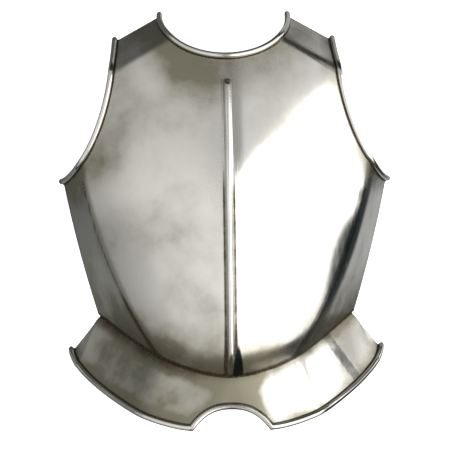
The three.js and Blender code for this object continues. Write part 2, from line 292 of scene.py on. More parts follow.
@dataclass(frozen=True)
class SkirtForm:
    """The outer face of the skirt, which flares from behind the chest plate's waist line."""

    chest: ChestForm
    half: float = 0.1935
    fall: float = 0.046
    point_half: float = 0.046
    point_fall: float = 0.072
    arch_rise: float = 0.0235
    forward: float = 0.33
    lap: float = 0.010
    soft: float = 0.006
    curve_across: float = 1.5
    curve_down: float = 1.55
    arch_curve: float = 2.5
    rear_least: float = 0.12
    rear_most: float = 0.24

    @property
    def point_y(self) -> float:
        """Height of the two lower points."""
        return -self.fall - self.point_fall

    def _height(self, x: Array, y: Array, flare: Array) -> Array:
        """Height of the face for a given sideways flare.

        Args:
            x: Distances from the middle line.
            y: Heights above the waist corners.
            flare: Sideways reach for each metre down.

        Returns:
            The height, which follows the chest plate above the waist line.
        """
        chest = self.chest
        down = chest.waist_y(x) - y
        inward = np.abs(x) - flare * down
        soft = self.soft * np.clip(down / self.lap, 1e-6, 1)
        start = (inward + np.hypot(inward, soft)) / 2
        flared = chest.lap_height(start, chest.waist_y(start)) + self.forward * down
        return np.where(down <= 0, chest.lap_height(x, y), flared)

    def side_flare(self) -> float:
        """Find the sideways flare.

        Returns:
            The flare that brings the rear corner down onto the rim's plane.
        """
        low, high = 0.0, 1.0
        for _ in range(HALVINGS):
            middle = (low + high) / 2
            over = self._height(np.array(self.half), np.array(-self.fall), np.array(middle)) > 0
            low, high = (low, middle) if over else (middle, high)
        return low

    def height_at(self, x: Array, y: Array) -> Array:
        """Height of the outer face."""
        return self._height(np.asarray(x), np.asarray(y), np.array(self.side_flare()))

    def rear_half(self, y: Array) -> Array:
        """Half width at which the face meets the rim's plane.

        Args:
            y: Heights above the waist corners.

        Returns:
            The half width at each height.
        """
        flare = np.array(self.side_flare())
        low = np.full_like(y, self.rear_least)
        high = np.full_like(y, self.rear_most)
        for _ in range(HALVINGS):
            middle = (low + high) / 2
            over = self._height(middle, y, flare) > 0
            low = np.where(over, middle, low)
            high = np.where(over, high, middle)
        return low

    def lower_edge(self, count: int) -> Array:
        """Plan points of the right lower edge.

        Args:
            count: Number of points.

        Returns:
            The points, from the rear corner to the point.
        """
        turn = np.linspace(0, 1, count) * math.pi / 2
        along = 1 - np.maximum(np.cos(turn), 0) ** (2 / self.curve_across)
        x = self.half + (self.point_half - self.half) * along
        y = -self.fall - self.point_fall * np.sin(turn) ** (2 / self.curve_down)
        return np.stack([x, y], -1)

    def arch_edge(self, count: int) -> Array:
        """Plan points of the arch.

        Args:
            count: Number of points.

        Returns:
            The points, from the right point to the left one.
        """
        share = np.linspace(1, -1, count)
        y = self.point_y + self.arch_rise * (1 - np.abs(share) ** self.arch_curve)
        return np.stack([self.point_half * share, y], -1)


def smooth(share: Array) -> Array:
    """An eased step from nought to one."""
    t = np.clip(share, 0, 1)
    return t * t * (3 - 2 * t)


def eased(least: float, share: Array) -> Array:
    """An eased step from a least value to one."""
    return least + (1 - least) * smooth(share)


def slopes(height: Height, x: Array, y: Array) -> tuple[Array, Array]:
    """Slopes of a height function, by central differences.

    Args:
        height: The height function.
        x: Distances from the middle line.
        y: Heights above the waist corners.

    Returns:
        The slopes across and upward.
    """
    step = SLOPE_STEP
    across = (height(x + step, y) - height(x - step, y)) / (2 * step)
    upward = (height(x, y + step) - height(x, y - step)) / (2 * step)
    return across, upward


def unit(vectors: Array) -> Array:
    """Vectors scaled to a length of one."""
    return vectors / np.maximum(np.linalg.norm(vectors, axis=-1, keepdims=True), 1e-12)


def normals_of(height: Height, x: Array, y: Array) -> Array:
    """Outward unit normals of a height function."""
    across, upward = slopes(height, x, y)
    return unit(np.stack([-across, -upward, np.ones_like(across)], -1))


@dataclass
class Surface:
    """Vertices, faces and named masks that are gathered into one mesh."""

    vertices: list
    faces: list
    masks: dict

    @classmethod
    def empty(cls, names: tuple[str, ...]) -> "Surface":
        """A surface with no faces yet."""
        return cls([], [], {name: [] for name in names})

    def add(self, points: Array, faces: Array, masks: dict) -> None:
        """Add a group of faces.

        Args:
            points: Vertex places, one row each.
            faces: Vertex numbers within the group, four to a row.
            masks: Mask values by name; a missing one counts as nought.
        """
        start = sum(len(group) for group in self.vertices)
        self.vertices.append(points)
        self.faces.append(faces + start)
        for name, groups in self.masks.items():
            value = masks.get(name, 0.0)
            groups.append(np.broadcast_to(np.asarray(value, dtype=float), (len(points),)))

    def to_object(self, name: str, shift: float) -> bpy.types.Object:
        """Make the mesh object.

        Args:
            name: Name of the object.
            shift: How far the mesh is moved along the height.

        Returns:
            The linked object, smooth shaded.
        """
        points = np.concatenate(self.vertices)
        points[:, 1] += shift
        mesh = bpy.data.meshes.new(name)
        mesh.from_pydata(points.tolist(), [], np.concatenate(self.faces).tolist())
        for mask, groups in self.masks.items():
            layer = mesh.attributes.new(mask, "FLOAT", "POINT")
            layer.data.foreach_set("value", np.concatenate(groups).astype(np.float32))
        mesh.validate()
        mesh.shade_smooth()
        piece = bpy.data.objects.new(name, mesh)
        bpy.context.scene.collection.objects.link(piece)
        return piece


@dataclass(frozen=True)
class Sheet:
    """A formed steel sheet: an outer face, an inner face, and the narrow edge between them."""

    thickness: float = 0.0015
    least_steepness: float = 0.04

    def add_to(self, surface: Surface, height: Height, plan: Array, masks: dict) -> None:
        """Add the sheet to a surface.

        Args:
            surface: The surface that receives it.
            height: Height function of the outer face.
            plan: Grid of plan points, rows by columns by two.
            masks: Mask grids by name.
        """
        x, y = plan[..., 0], plan[..., 1]
        outer = np.stack([x, y, np.maximum(height(x, y), 0)], -1)
        inner = outer - normals_of(height, x, y) * self.thickness
        across, upward = slopes(height, x, y)
        steep = np.maximum(across**2 + upward**2, self.least_steepness)
        short = np.maximum(-inner[..., 2], 0) / steep
        inner[..., 0] += across * short
        inner[..., 1] += upward * short
        inner[..., 2] = np.maximum(inner[..., 2], 0)
        rows, columns = x.shape
        index = np.arange(rows * columns).reshape(rows, columns)
        top = np.stack([index[:-1, :-1], index[:-1, 1:], index[1:, 1:], index[1:, :-1]], -1).reshape(-1, 4)
        under = top[:, ::-1] + rows * columns
        loop = np.concatenate([index[0, :-1], index[:-1, -1], index[-1, :0:-1], index[:0:-1, 0]])
        ahead = np.roll(loop, -1)
        rim = np.stack([ahead, loop, loop + rows * columns, ahead + rows * columns], -1)
        points = np.concatenate([outer.reshape(-1, 3), inner.reshape(-1, 3)])
        inside = {name: np.tile(grid.reshape(-1), 2) for name, grid in masks.items()}
        inside["inner"] = np.repeat([0.0, 1.0], rows * columns)
        surface.add(points, np.concatenate([top, under, rim]), inside)


@dataclass(frozen=True)
class TurnedEdge:
    """A sheet edge rolled outward into a bead round a wire, with a low lip at its foot."""

    radius: float = 0.0035
    bore: float = 0.0020
    lift: float = 0.0017
    facets: int = 18
    spacing: float = 0.0026
    foot: tuple = ((-0.0053, -0.0005), (-0.0051, 0.0001), (-0.0045, 0.0004), (-0.0038, 0.00035))
    under: tuple = (-0.0012, -0.0013)
    turn_from: float = 205
    turn_to: float = -75
    corner_gap: int = 2
    mitre_least: float = 0.5

    def _profile(self) -> tuple[Array, Array]:
        """Lay out the bead's two profiles.

        Returns:
            The outer and bore profiles as places outward from the edge and above the sheet.
        """
        turn = np.radians(np.linspace(self.turn_from, self.turn_to, self.facets))
        bead = np.stack([np.cos(turn), np.sin(turn)], -1) * self.radius + [0, self.lift]
        outer = np.concatenate([np.array(self.foot), bead, [self.under]])
        turn = np.arctan2(outer[:, 1] - self.lift, outer[:, 0])
        bore = np.stack([np.cos(turn), np.sin(turn)], -1) * self.bore + [0, self.lift]
        return outer, bore

    def _even(self, plan: Array) -> Array:
        """Space plan points evenly.

        Args:
            plan: Points along a curve.

        Returns:
            Points at the bead's spacing, with both ends kept.
        """
        length = np.concatenate([[0], np.cumsum(np.linalg.norm(np.diff(plan, axis=0), axis=-1))])
        count = max(int(length[-1] / self.spacing), 2)
        wanted = np.linspace(0, length[-1], count)
        return np.stack([np.interp(wanted, length, plan[:, axis]) for axis in (0, 1)], -1)

    def add_to(self, surface: Surface, height: Height, runs: list, outward: Array) -> None:
        """Sweep the bead along an edge.

        Args:
            surface: The surface that receives it.
            height: Height function of the sheet's outer face.
            runs: Plan curves laid end to end, which meet at mitred corners.
            outward: A direction that points off the sheet at the first point.
        """
        skipped = 1 + self.corner_gap
        evened = [self._even(run) for run in runs]
        plan = [evened[0]]
        for run in evened[1:]:
            plan[-1] = np.concatenate([plan[-1][:-skipped], plan[-1][-1:]])
            plan.append(run[skipped:])
        plan = np.concatenate(plan)
        x, y = plan[:, 0], plan[:, 1]
        spine = np.stack([x, y, height(x, y)], -1)
        normal = normals_of(height, x, y)
        step = unit(np.diff(spine, axis=0))
        before = np.concatenate([step[:1], step])
        after = np.concatenate([step, step[-1:]])
        along = unit(before + after)
        normal = unit(normal - along * (normal * along).sum(-1, keepdims=True))
        out = np.cross(along, normal)
        out *= np.sign((out[0] * outward).sum())
        widen = 1 / np.maximum((along * after).sum(-1), self.mitre_least)
        outer, bore = self._profile()
        rings = []
        for profile in (outer, bore):
            ring = spine[:, None] + normal[:, None] * profile[None, :, 1:]
            rings.append(ring + out[:, None] * profile[None, :, :1] * widen[:, None, None])
        keep = (rings[0][..., 2] > RIM_CLEARANCE).all(-1)
        keep[[0, -1]] = True
        for ring in rings:
            for end in (0, -1):
                slide = -ring[end][:, 2:] / along[end][2]
                ring[end] += along[end] * slide
        flip = np.dot(np.cross(along[0], normal[0]), out[0]) > 0
        self._skin(surface, rings[0][keep], rings[1][keep], flip)

    def _skin(self, surface: Surface, outer: Array, bore: Array, flip: bool) -> None:
        """Add the faces of the bead, its bore and its two cut ends.

        Args:
            surface: The surface that receives them.
            outer: Rings of points round the bead.
            bore: Rings of points round its bore.
            flip: Whether the faces are turned over.
        """
        count, sides = outer.shape[:2]
        index = np.arange(count * sides).reshape(count, sides)
        wrapped = np.roll(index, -1, axis=1)
        skin = np.stack([index[:-1], wrapped[:-1], wrapped[1:], index[1:]], -1).reshape(-1, 4)
        second = count * sides
        hollow = skin[:, ::-1] + second
        first = np.stack([wrapped[0], index[0], index[0] + second, wrapped[0] + second], -1)
        last = np.stack([index[-1], wrapped[-1], wrapped[-1] + second, index[-1] + second], -1)
        faces = np.concatenate([skin, hollow, first, last])
        if flip:
            faces = faces[:, ::-1]
        points = np.concatenate([outer.reshape(-1, 3), bore.reshape(-1, 3)])
        groove = np.zeros(sides)
        groove[:2] = 0.7
        groove[2:6] = 1.0
        groove[-3:] = 0.7
        surface.add(points, faces, {"edge": 0.35, "groove": np.tile(groove, 2 * count)})


def nearness(plan: Array, edge: Array, reach: float) -> Array:
    """How close plan points lie to a curve: one on it, nought beyond the reach.

    Args:
        plan: Grid of plan points.
        edge: Points along the curve.
        reach: Distance at which the value falls to nought.

    Returns:
        A grid of values.
    """
    flat = plan.reshape(-1, 2)
    least = np.full(len(flat), np.inf)
    for point in edge:
        least = np.minimum(least, ((flat - point) ** 2).sum(-1))
    return smooth(1 - np.sqrt(least) / reach).reshape(plan.shape[:-1])


def mirrored(half: Array) -> Array:
    """A grid's right half joined to its mirror image, middle column shared."""
    left = half[:, :0:-1] * [-1, 1]
    return np.concatenate([left, half], axis=1)


def blended(top: Array, low: Array, side: Array, rows: Array) -> Array:
    """A half grid between an upper and a lower curve that ends on a side curve.

    Args:
        top: Upper curve, from the middle outward.
        low: Lower curve, from the middle outward.
        side: Side curve, from the lower end to the upper one, a point to a row.
        rows: Shares of the way up.

    Returns:
        The grid, rows from the lower curve upward.
    """
    share = rows[:, None, None]
    grid = low[None] * (1 - share) + top[None] * share
    outward = np.linspace(0, 1, top.shape[0])[None, :, None] ** SIDE_PULL
    return grid + (side[:, None] - grid[:, -1:]) * outward


@dataclass(frozen=True)
class Noise:
    """The grain of a noise texture."""

    scale: float
    detail: float
    roughness: float


@dataclass(frozen=True)
class Span:
    """Where a value starts to count, and where it counts in full."""

    low: float
    high: float


# Masks stored on the meshes. One holds only painted dark reflections; the foot and groove masks hold painted
# shade and a painted dark reflection line beside grime.
MASKS = ("edge", "groove", "waist", "crease", "foot", "inner", "stain", "dull", "soot")


@dataclass(frozen=True)
class ChestPlate:
    """The formed plate from the waist up, with its neck and arm beads."""

    form: ChestForm
    shift: float
    gap: float = 0.0004
    rib_columns: int = 14
    neck_columns: int = 40
    shoulder_columns: int = 46
    side_rows: int = 64
    arm_rows: int = 96
    neck_points: int = 200
    arm_points: int = 160
    rib_reach: float = 0.0102
    neck_soil: float = 0.070
    right_arm_soil: float = 0.030
    left_arm_soil: float = 0.062
    waist_groove: float = 0.0042
    waist_soil: float = 0.075
    crease_soil: float = 0.012
    # Width of the painted dark reflection line along the left crease.
    crease_line: float = 0.004
    # Painted shade mixed with grime in the hollow feet of the rib.
    rib_foot: float = 0.0034
    rib_foot_out: float = 0.0012
    arm_soil_top: float = 0.26
    arm_soil_fade: float = 0.08
    arm_soil_least: float = 0.4
    foot_top: float = 0.20
    foot_fade: float = 0.06
    foot_least: float = 0.55
    left_fade: float = 0.02
    # How much darker the left half is made, through the tarnish colour.
    left_half_darkening: float = 0.26
    # Strength of the painted dark reflection line along the left crease.
    left_crease_reflection: float = 0.6
    dull_from: float = 0.004
    dull_fade: float = 0.012
    # Painted dark reflections: a blot beside the rib's lower end and a band along the right crease.
    soot_centre: tuple = (0.0085, -0.054)
    soot_half: float = 0.0025
    soot_widening: float = 0.06
    soot_height: float = 0.030
    band_centre: float = 0.0070
    band_half: float = 0.0080
    band_soft: float = 0.005
    band_over: float = 0.004
    band_fade: float = 0.02
    band_share: float = 0.5

    def _plan(self) -> Array:
        """Lay out the grid of plan points.

        Returns:
            The grid, rows from the waist line upward.
        """
        form = self.form
        turn = np.arcsin(np.linspace(0, self.rib_reach, self.rib_columns) / form.neck_half)
        turn = np.concatenate([turn, np.linspace(turn[-1], math.pi / 2, self.neck_columns)[1:]])
        neck = np.stack([form.neck_half * np.sin(turn), form.height - form.neck_drop * np.cos(turn)], -1)
        x = np.linspace(form.neck_half, form.shoulder_half, self.shoulder_columns)[1:]
        top = np.concatenate([neck, np.stack([x, form.top_y(x)], -1)])
        spread = np.linspace(0, 1, len(top)) ** SIDE_PULL
        x = top[:, 0] + (form.waist_half - form.shoulder_half) * spread
        low = np.stack([x, form.waist_y(x) + self.gap * (1 - spread)], -1)
        y = np.linspace(0, form.arm_corner_y, self.side_rows)
        rim = np.stack([form.rear_half(y), y], -1)
        side = np.concatenate([rim[:-1], form.arm_edge(self.arm_rows)[::-1]])
        rows = np.linspace(0, 1, len(side))
        return mirrored(blended(top, low, side, rows))

    def _soil(self, plan: Array) -> Array:
        """Soil along the neck and arm edges.

        Args:
            plan: Grid of plan points.

        Returns:
            A mask grid, widest by the left arm opening's lower part.
        """
        form = self.form
        right = form.arm_edge(EDGE_POINTS)
        lower = eased(self.arm_soil_least, (self.arm_soil_top - plan[..., 1]) / self.arm_soil_fade)
        right_arm = nearness(plan, right, self.right_arm_soil)
        left_arm = nearness(plan, right * [-1, 1], self.left_arm_soil)
        arms = np.maximum(right_arm, lower * left_arm)
        return np.maximum(arms, nearness(plan, form.neck_edge(EDGE_POINTS), self.neck_soil))

    def _soot(self, x: Array, y: Array) -> Array:
        """The two painted dark reflections on the right, in near-black.

        Args:
            x: Distances from the middle line.
            y: Heights above the waist corners.

        Returns:
            A mask of the painted dark reflection beside the rib's lower end and of the painted dark
            reflection band along the right crease.
        """
        form = self.form
        centre_x, centre_y = self.soot_centre
        half = self.soot_half - self.soot_widening * y
        blot = smooth(1.5 - np.hypot((x - centre_x) / half, (y - centre_y) / self.soot_height))
        inward = np.abs(form.crease_half(y) - x - self.band_centre)
        upper = smooth((form.arm_corner_y + self.band_over - y) / self.band_fade)
        band = upper * smooth((self.band_half - inward) / self.band_soft)
        return np.maximum(blot, self.band_share * band)

    def _masks(self, plan: Array) -> dict:
        """Where grime gathers near the waist, the edges, the creases and the rib's feet, with painted shade
        at the rib's feet; painted dark reflections along the left crease and on the right; and a darker left
        half.

        Args:
            plan: Grid of plan points.

        Returns:
            Mask grids by name.
        """
        form = self.form
        x, y = plan[..., 0], plan[..., 1]
        side = np.abs(form.front(x, y) - form.side(x, y))
        shoulder = np.abs(np.minimum(form.front(x, y), form.side(x, y)) - form.shoulder(x, y))
        # Painted shade mixed with grime in the hollow feet of the rib.
        beside = np.abs(np.abs(x) - form.rib_crest - self.rib_foot_out)
        foot = smooth(1 - beside / self.rib_foot) * (y < form.rib_top)
        above = y - form.waist_y(x)
        # Share of the left half, which is made darker.
        left = smooth(-x / self.left_fade)
        # A painted dark reflection: a thin dark line along the left crease.
        line = smooth(1 - side / self.crease_line) * left * (y < form.arm_corner_y)
        return {
            # Grime in the waist joint, and the painted dark reflection line along the left crease.
            "groove": np.maximum(smooth(1 - above / self.waist_groove), self.left_crease_reflection * line),
            # Painted dark reflections on the right.
            "soot": self._soot(x, y),
            "edge": self._soil(plan),
            "waist": smooth(1 - above / self.waist_soil),
            "crease": smooth(1 - np.minimum(side, shoulder) / self.crease_soil),
            "foot": foot * eased(self.foot_least, (self.foot_top - y) / self.foot_fade),
            # The left half is blended further toward the tarnish colour, so it is darker.
            "stain": self.left_half_darkening * left,
            "dull": smooth((self.dull_from - x) / self.dull_fade),
        }

    def build(self) -> bpy.types.Object:
        """Build the plate.

        Returns:
            The plate's object, in place.
        """
        form = self.form
        surface = Surface.empty(MASKS)
        plan = self._plan()
        Sheet().add_to(surface, form.height_at, plan, self._masks(plan))
        bead = TurnedEdge()
        right = form.arm_edge(self.arm_points)
        bead.add_to(surface, form.form, [form.neck_edge(self.neck_points)], np.array([0, 1, 0]))
        bead.add_to(surface, form.form, [right], np.array([1, 1, 0]))
        bead.add_to(surface, form.form, [right * [-1, 1]], np.array([-1, 1, 0]))
        return surface.to_object("chest_plate_polished", self.shift)


@dataclass(frozen=True)
class SkirtPlate:
    """The flared plate below the waist, with one bead round its lower edge."""

    form: SkirtForm
    shift: float
    arch_columns: int = 26
    edge_columns: int = 64
    rows: int = 56
    edge_points: int = 200
    arch_points: int = 80
    corner_rounds: int = 12
    waist_groove: float = 0.0026
    waist_soil: float = 0.022
    edge_soil: float = 0.020
    groove_share: float = 0.8
    worn: Span = Span(-0.21, 0.045)
    worn_fade: float = 0.02
    rear_fade: float = 0.05
    left_dirt: float = 0.34
    left_dirt_from: float = -0.015
    left_dirt_fade: float = 0.06
    # A painted dark reflection band across the right of the skirt.
    band_place: tuple = (0.1445, -0.0587)
    band_across: tuple = (0.810, 0.587)
    band_half: float = 0.0090
    band_soft: float = 0.0045
    band_share: float = 0.5
    beyond_stain: float = 0.55
    beyond_from: float = 0.003
    beyond_fade: float = 0.006

    def _plan(self) -> Array:
        """Lay out the grid of plan points.

        Returns:
            The grid, rows from the lower edge upward.
        """
        form = self.form
        arch = form.arch_edge(2 * self.arch_columns + 1)[self.arch_columns :: -1]
        low = np.concatenate([arch, form.lower_edge(self.edge_columns)[-2::-1]])
        corner_y = form.lap
        for _ in range(self.corner_rounds):
            corner_x = form.rear_half(np.array([corner_y]))[0]
            corner_y = float(form.chest.waist_y(np.array(corner_x))) + form.lap
        x = low[:, 0] * corner_x / form.half
        top = np.stack([x, form.chest.waist_y(x) + form.lap], -1)
        y = np.linspace(-form.fall, corner_y, self.rows)
        side = np.stack([form.rear_half(y), y], -1)
        return mirrored(blended(top, low, side, np.linspace(0, 1, self.rows)))

    def _masks(self, plan: Array) -> dict:
        """Where grime gathers: under the waist line, along the lower edge and on the left; and a painted
        dark reflection band on the right.

        Args:
            plan: Grid of plan points.

        Returns:
            Mask grids by name.
        """
        form = self.form
        x, y = plan[..., 0], plan[..., 1]
        right = form.lower_edge(EDGE_POINTS + 10)
        edges = [form.arch_edge(EDGE_POINTS // 2), right, right * [-1, 1]]
        below = form.chest.waist_y(x) - y
        worn = smooth((self.worn.high - x) / self.worn_fade) * smooth((x - self.worn.low) / self.rear_fade)
        across = (plan - self.band_place) @ np.array(self.band_across)
        beyond = smooth((across - self.beyond_from) / self.beyond_fade)
        return {
            # The painted dark reflection band on the right.
            "soot": self.band_share * smooth((self.band_half - np.abs(across)) / self.band_soft),
            "groove": self.groove_share * smooth(1 - below / self.waist_groove),
            "edge": np.max([nearness(plan, curve, self.edge_soil) for curve in edges], axis=0),
            "waist": smooth(1 - below / self.waist_soil),
            "stain": np.maximum(worn, self.beyond_stain * beyond),
            "dull": worn,
            "foot": self.left_dirt * smooth((self.left_dirt_from - x) / self.left_dirt_fade),
        }

    def build(self) -> bpy.types.Object:
        """Build the plate.

        Returns:
            The plate's object, in place.
        """
        form = self.form
        surface = Surface.empty(MASKS)
        plan = self._plan()
        Sheet().add_to(surface, form.height_at, plan, self._masks(plan))
        right = form.lower_edge(self.edge_points)
        runs = [right, form.arch_edge(self.arch_points), (right * [-1, 1])[::-1]]
        TurnedEdge().add_to(surface, form.height_at, runs, np.array([1, -1, 0]))
        return surface.to_object("skirt_plate_polished", self.shift)


class Graph:
    """Small helper that adds and joins nodes in one node tree."""

    def __init__(self, tree: bpy.types.NodeTree) -> None:
        """Keep the tree that is worked on."""
        self.tree = tree

    def add(self, kind: str, inputs: dict | None = None, **settings) -> bpy.types.Node:
        """Add a node.

        Args:
            kind: Node type.
            inputs: Socket names with a constant or the socket that feeds them.
            settings: Properties of the node.

        Returns:
            The new node.
        """
        node = self.tree.nodes.new(kind)
        for name, value in settings.items():
            setattr(node, name, value)
        for name, value in (inputs or {}).items():
            self.feed(node.inputs[name], value)
        return node

    def feed(self, socket: Socket, value: Feed) -> None:
        """Set a socket to a constant, or join another socket to it.

        Args:
            socket: The input that receives it.
            value: A constant or an output socket.
        """
        if isinstance(value, bpy.types.NodeSocket):
            self.tree.links.new(value, socket)
        else:
            socket.default_value = value

    def math(self, operation: str, first: Feed, second: Feed, clamp: bool = False) -> Socket:
        """Add a maths node.

        Args:
            operation: Blender's name for the operation.
            first: First value.
            second: Second value.
            clamp: Whether the result is kept between nought and one.

        Returns:
            The result's socket.
        """
        node = self.add("ShaderNodeMath", {0: first, 1: second}, operation=operation)
        node.use_clamp = clamp
        return node.outputs[0]

    def plus(self, first: Feed, second: Feed, share: float = 1.0, clamp: bool = False) -> Socket:
        """Add a share of the second value to the first.

        Args:
            first: First value.
            second: Second value.
            share: How much of the second value is added.
            clamp: Whether the result is kept between nought and one.

        Returns:
            The result's socket.
        """
        part = second if share == 1.0 else self.math("MULTIPLY", second, share)
        return self.math("ADD", first, part, clamp)

    def noise(self, place: Feed, kind: Noise) -> Socket:
        """Add a noise texture.

        Args:
            place: Place on the surface.
            kind: The noise's grain.

        Returns:
            The value's socket.
        """
        settings = {"Vector": place, "Scale": kind.scale, "Detail": kind.detail, "Roughness": kind.roughness}
        return self.add("ShaderNodeTexNoise", settings).outputs["Fac"]

    def step(self, value: Feed, between: Span) -> Socket:
        """Ease a value from nought to one.

        Args:
            value: The value.
            between: Where the result leaves nought and where it reaches one.

        Returns:
            The result's socket.
        """
        limits = {"Value": value, "From Min": between.low, "From Max": between.high}
        node = self.add("ShaderNodeMapRange", limits, interpolation_type="SMOOTHSTEP")
        return node.outputs["Result"]

    def blend(self, share: Feed, first: Feed, second: Feed) -> Socket:
        """Mix two colours.

        Args:
            share: How much of the second colour shows.
            first: First colour.
            second: Second colour.

        Returns:
            The mixed colour's socket.
        """
        node = self.add("ShaderNodeMix", data_type="RGBA")
        for number, value in ((0, share), (6, first), (7, second)):
            self.feed(node.inputs[number], value)
        return node.outputs[2]


def new_group(name: str, inputs: dict, outputs: dict) -> tuple[bpy.types.NodeTree, Graph]:
    """Make a shader node group.

    Args:
        name: Name of the group.
        inputs: Input names with their socket types.
        outputs: Output names with their socket types.

    Returns:
        The group and its graph helper.
    """
    tree = bpy.data.node_groups.new(name, "ShaderNodeTree")
    for label, kind in inputs.items():
        tree.interface.new_socket(label, in_out="INPUT", socket_type=kind)
    for label, kind in outputs.items():
        tree.interface.new_socket(label, in_out="OUTPUT", socket_type=kind)
    return tree, Graph(tree)


# Mask weights for each input of the effect. The first total mixes grime with painted shade at the rib's feet
# and a painted dark reflection line along the left crease; the last total holds only painted dark
# reflections.
WEAR = {
    "Grime": {"groove": 1.0, "waist": 0.50, "foot": 0.95, "edge": 0.16, "crease": 0.20, "inner": 0.35},
    "Aged": {"edge": 0.85, "waist": 0.90, "stain": 0.92, "crease": 0.30, "inner": 0.5},
    "Dull": {"dull": 1.0},
    "Soot": {"soot": 1.0},
}
VALUE = "NodeSocketFloat"
COLOUR = "NodeSocketColor"
PLACE = "NodeSocketVector"


@dataclass(frozen=True)
class WornMetal:
    """Shared effect: mottled tarnish, brown grime in the low places with painted shade among it, near-black
    painted dark reflections, and fine polishing marks.
    """

    mottle: Noise = Noise(11.0, 4.0, 0.5)
    mottle_shows: Span = Span(0.42, 0.72)
    stain: Noise = Noise(38.0, 8.0, 0.68)
    stain_shows: Span = Span(0.4, 0.75)
    stain_share: float = 0.2475
    tarnish_everywhere: float = 0.2
    cloud_shows: Span = Span(0.3, 0.7)
    cloud_share: float = 0.65
    cloud_least: float = 0.5
    # The grime share, which also carries painted shade, and how it is shaped.
    dirt_and_shade_shows: Span = Span(0.25, 1.0)
    dirt_and_shade_least: float = 0.5
    grain: Noise = Noise(520.0, 5.0, 0.7)
    grain_shows: Span = Span(0.44, 0.62)
    speck: Noise = Noise(260.0, 4.0, 0.6)
    speck_shows: Span = Span(0.66, 0.74)
    speck_share: float = 0.6
    speck_least: float = 0.25
    # Near-black colour of the painted dark reflections, and how their mask is shaped.
    soot: Colour = (0.010, 0.013, 0.013, 1)
    soot_shows: Span = Span(0.35, 0.85)
    soot_least: float = 0.75
    tarnish_roughness: float = 0.22
    dull_roughness: float = 0.13
    dirt_roughness: float = 0.28
    stroke_roughness: float = 0.06
    dent: Noise = Noise(8.0, 2.0, 0.4)
    ripple: Noise = Noise(27.0, 2.0, 0.4)
    ripple_height: float = 0.14
    stroke_height: float = 0.010
    dirt_height: float = 0.12
    stroke: Noise = Noise(3.0, 3.0, 0.7)
    stroke_shows: Span = Span(0.45, 0.7)
    stroke_ways: tuple = ((0.5, (220, 14, 60)), (-0.9, (180, 10, 50)))

    def group(self) -> bpy.types.NodeTree:
        """Make the effect's node group.

        Returns:
            The group, which gives a colour, a roughness and a bump height.
        """
        inputs = {"Place": PLACE}
        inputs |= dict.fromkeys(("Clean", "Tarnish", "Dirt", "Rust"), COLOUR)
        inputs |= dict.fromkeys(("Aged", "Grime", "Dull", "Soot", "Smooth"), VALUE)
        outputs = {"Colour": COLOUR, "Roughness": VALUE, "Height": VALUE}
        tree, graph = new_group("worn_metal", inputs, outputs)
        given = graph.add("NodeGroupInput").outputs
        place = given["Place"]
        mottle = graph.noise(place, self.mottle)
        stain = graph.noise(place, self.stain)
        tarnish = self._tarnish(graph, mottle, stain, given["Aged"])
        # The grime share also holds painted shade and a painted dark reflection line.
        broken = graph.math("MULTIPLY", graph.math("ADD", stain, self.dirt_and_shade_least), given["Grime"])
        dirt_and_shade = graph.step(broken, self.dirt_and_shade_shows)
        streak = self._streaks(graph, place)
        made = {
            "Colour": self._colour(graph, given, stain, tarnish, dirt_and_shade),
            "Roughness": self._roughness(graph, given, tarnish, dirt_and_shade, streak),
            "Height": self._height(graph, place, stain, dirt_and_shade, streak),
        }
        graph.add("NodeGroupOutput", made)
        return tree

    def _tarnish(self, graph: Graph, mottle: Feed, stain: Feed, aged: Feed) -> Socket:
        """Patches of tarnish.

        Args:
            graph: The group's graph.
            mottle: Broad noise.
            stain: Finer noise.
            aged: How aged the surface is.

        Returns:
            The share of tarnish.
        """
        patch = graph.plus(self.tarnish_everywhere, graph.step(stain, self.stain_shows), self.stain_share)
        spread = graph.math("MULTIPLY", graph.step(mottle, self.mottle_shows), patch)
        cloud = graph.plus(graph.math("MULTIPLY", mottle, 0.75), stain, 0.25)
        cloud = graph.plus(self.cloud_least, graph.step(cloud, self.cloud_shows), self.cloud_share)
        return graph.math("ADD", spread, graph.math("MULTIPLY", cloud, aged), True)

    def _colour(self, graph: Graph, given: Sockets, stain: Feed, tarnish: Feed, dirt_and_shade: Feed) -> Socket:
        """Colour of the clean, tarnished and grimy metal, with painted shade among the grime and near-black
        painted dark reflections.

        Args:
            graph: The group's graph.
            given: The group's inputs.
            stain: Fine noise.
            tarnish: Share of tarnish.
            dirt_and_shade: Share of grime and painted shade.

        Returns:
            The colour.
        """
        place = given["Place"]
        colour = graph.blend(tarnish, given["Clean"], given["Tarnish"])
        grains = graph.step(graph.noise(place, self.grain), self.grain_shows)
        # Blend toward the grime colour, which also lays painted shade.
        colour = graph.blend(dirt_and_shade, colour, graph.blend(grains, given["Dirt"], given["Rust"]))
        specks = graph.step(graph.noise(place, self.speck), self.speck_shows)
        dots = graph.math("MULTIPLY", specks, graph.math("ADD", dirt_and_shade, self.speck_least))
        dots = graph.math("MULTIPLY", dots, self.speck_share, True)
        colour = graph.blend(dots, colour, given["Dirt"])
        # Lay the near-black painted dark reflections over the colour.
        ragged = graph.math("MULTIPLY", given["Soot"], graph.math("ADD", stain, self.soot_least))
        return graph.blend(graph.step(ragged, self.soot_shows), colour, self.soot)

